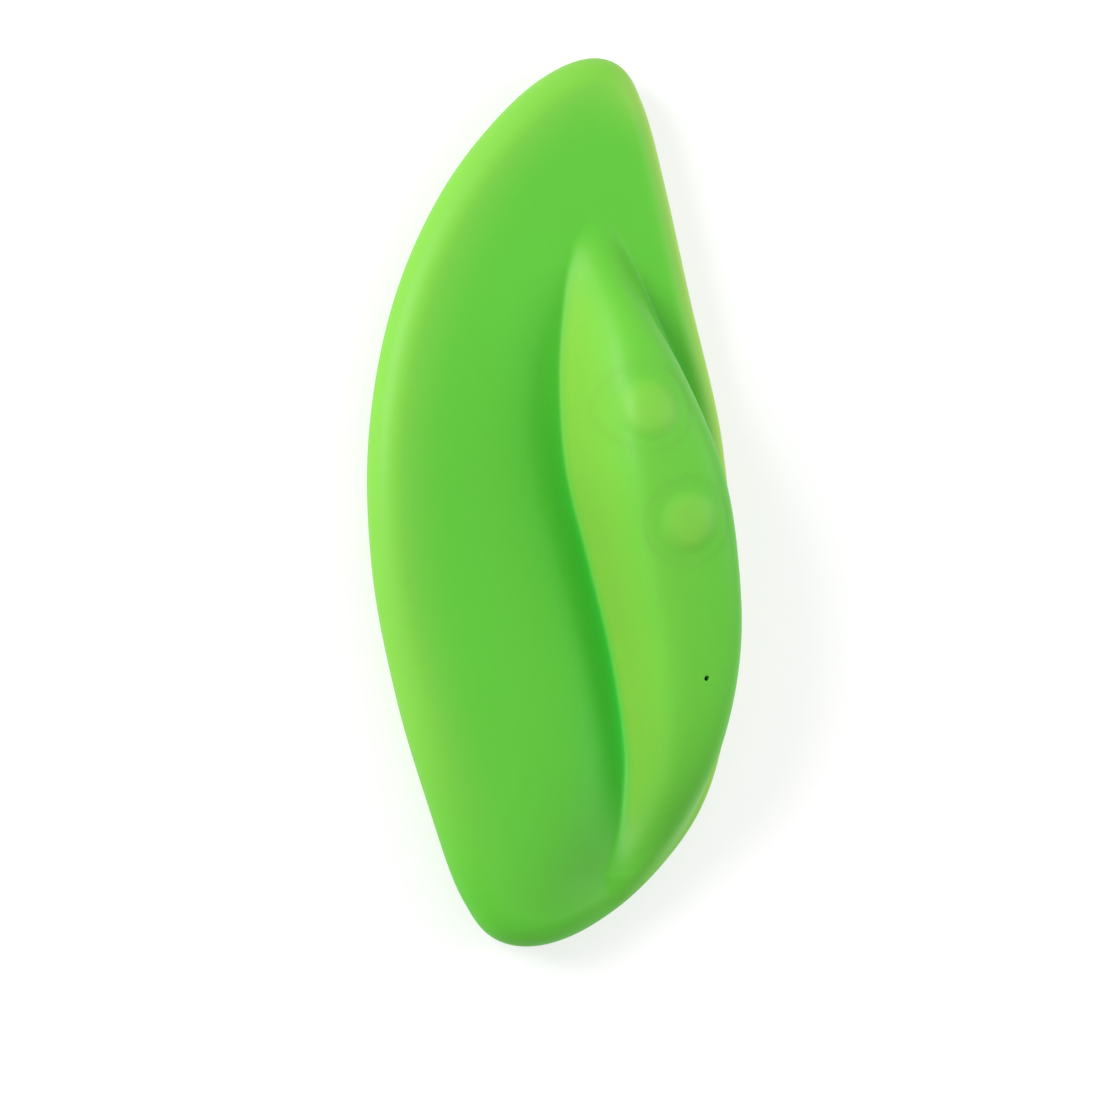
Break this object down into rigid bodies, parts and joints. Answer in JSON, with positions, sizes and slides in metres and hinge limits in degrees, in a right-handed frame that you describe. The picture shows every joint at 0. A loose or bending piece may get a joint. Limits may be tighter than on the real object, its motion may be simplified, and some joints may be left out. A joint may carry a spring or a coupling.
{
  "type": "palm massager",
  "caption": "Leaf-shaped palm massager: a flat silicone blade with a raised almond pod that holds a vibration motor, a cell, a control board, press buttons and a charging pinhole.",
  "frame": {"origin": "middle of the bounding box on the plane of the resting face", "axes": "+Y runs along the leaf towards its upper tip, +Z points out of the button side, +X completes the right-handed frame towards the pod's side"},
  "size_m": [0.0529, 0.118, 0.0212],
  "materials": {
    "silicone": "satin",
    "shell_plastic": "fine moulded texture",
    "steel": "nickel-plated",
    "core_steel": "laminated",
    "ferrite": "matt ferrite",
    "tungsten": "sintered",
    "bronze": "sintered, oiled",
    "copper": "enamelled",
    "gold_plate": "plated",
    "nickel": "stamped",
    "cell_foil": "pouch foil",
    "foam": "closed-cell",
    "circuit_board": "solder mask",
    "ceramic": "fired",
    "black_plastic": "moulded",
    "grey_plastic": "moulded",
    "white_plastic": "moulded",
    "black_rubber": "matt",
    "red_insulation": "silicone wire",
    "black_insulation": "silicone wire"
  },
  "bodies": {
    "root": {"silicone_skin": "silicone", "front_shell": "shell_plastic", "back_shell": "shell_plastic", "shell_screws": "steel", "motor_can": "steel", "motor_magnets": "ferrite", "motor_end_cap": "white_plastic", "motor_front_bush": "bronze", "motor_rear_bush": "bronze", "motor_brushes": "copper", "motor_terminals": "gold_plate", "motor_sleeve": "black_rubber", "battery_cell": "cell_foil", "battery_tabs": "nickel", "battery_protection_board": "circuit_board", "battery_foam_pad": "foam", "control_board": "circuit_board", "board_screws": "steel", "microcontroller": "black_plastic", "charge_chip": "black_plastic", "board_passives": "ceramic", "indicator_led": "white_plastic", "power_switch_base": "black_plastic", "power_switch_cover": "nickel", "power_switch_dome": "gold_plate", "mode_switch_base": "black_plastic", "mode_switch_cover": "nickel", "mode_switch_dome": "gold_plate", "jack_housing": "black_plastic", "jack_sleeve_contact": "nickel", "jack_centre_contact": "gold_plate", "motor_lead_red": "red_insulation", "motor_lead_black": "black_insulation", "battery_lead_red": "red_insulation", "battery_lead_black": "black_insulation", "jack_lead_red": "red_insulation", "jack_lead_black": "black_insulation"},
    "power_button": {"power_button_pad": "silicone", "power_button_plunger": "shell_plastic", "power_switch_stem": "grey_plastic"},
    "mode_button": {"mode_button_pad": "silicone", "mode_button_plunger": "shell_plastic", "mode_switch_stem": "grey_plastic"},
    "rotor": {"motor_shaft": "steel", "armature_core": "core_steel", "armature_windings": "copper", "commutator": "copper", "eccentric_weight": "tungsten"}
  },
  "joints": [
    {"name": "power_button_press", "type": "slide", "parent": "root", "child": "power_button", "axis": [0, 0, -1], "range_m": [0, 0.00035], "stiffness_N_per_m": 4500, "deforming": ["power_switch_dome"]},
    {"name": "mode_button_press", "type": "slide", "parent": "root", "child": "mode_button", "axis": [0, 0, -1], "range_m": [0, 0.00035], "stiffness_N_per_m": 4500, "deforming": ["mode_switch_dome"]},
    {"name": "motor_spin", "type": "hinge", "parent": "root", "child": "rotor", "pos_m": [0.0139, -0.002, 0.0088], "axis": [-0.247, 0.969, 0], "continuous": true}
  ]
}
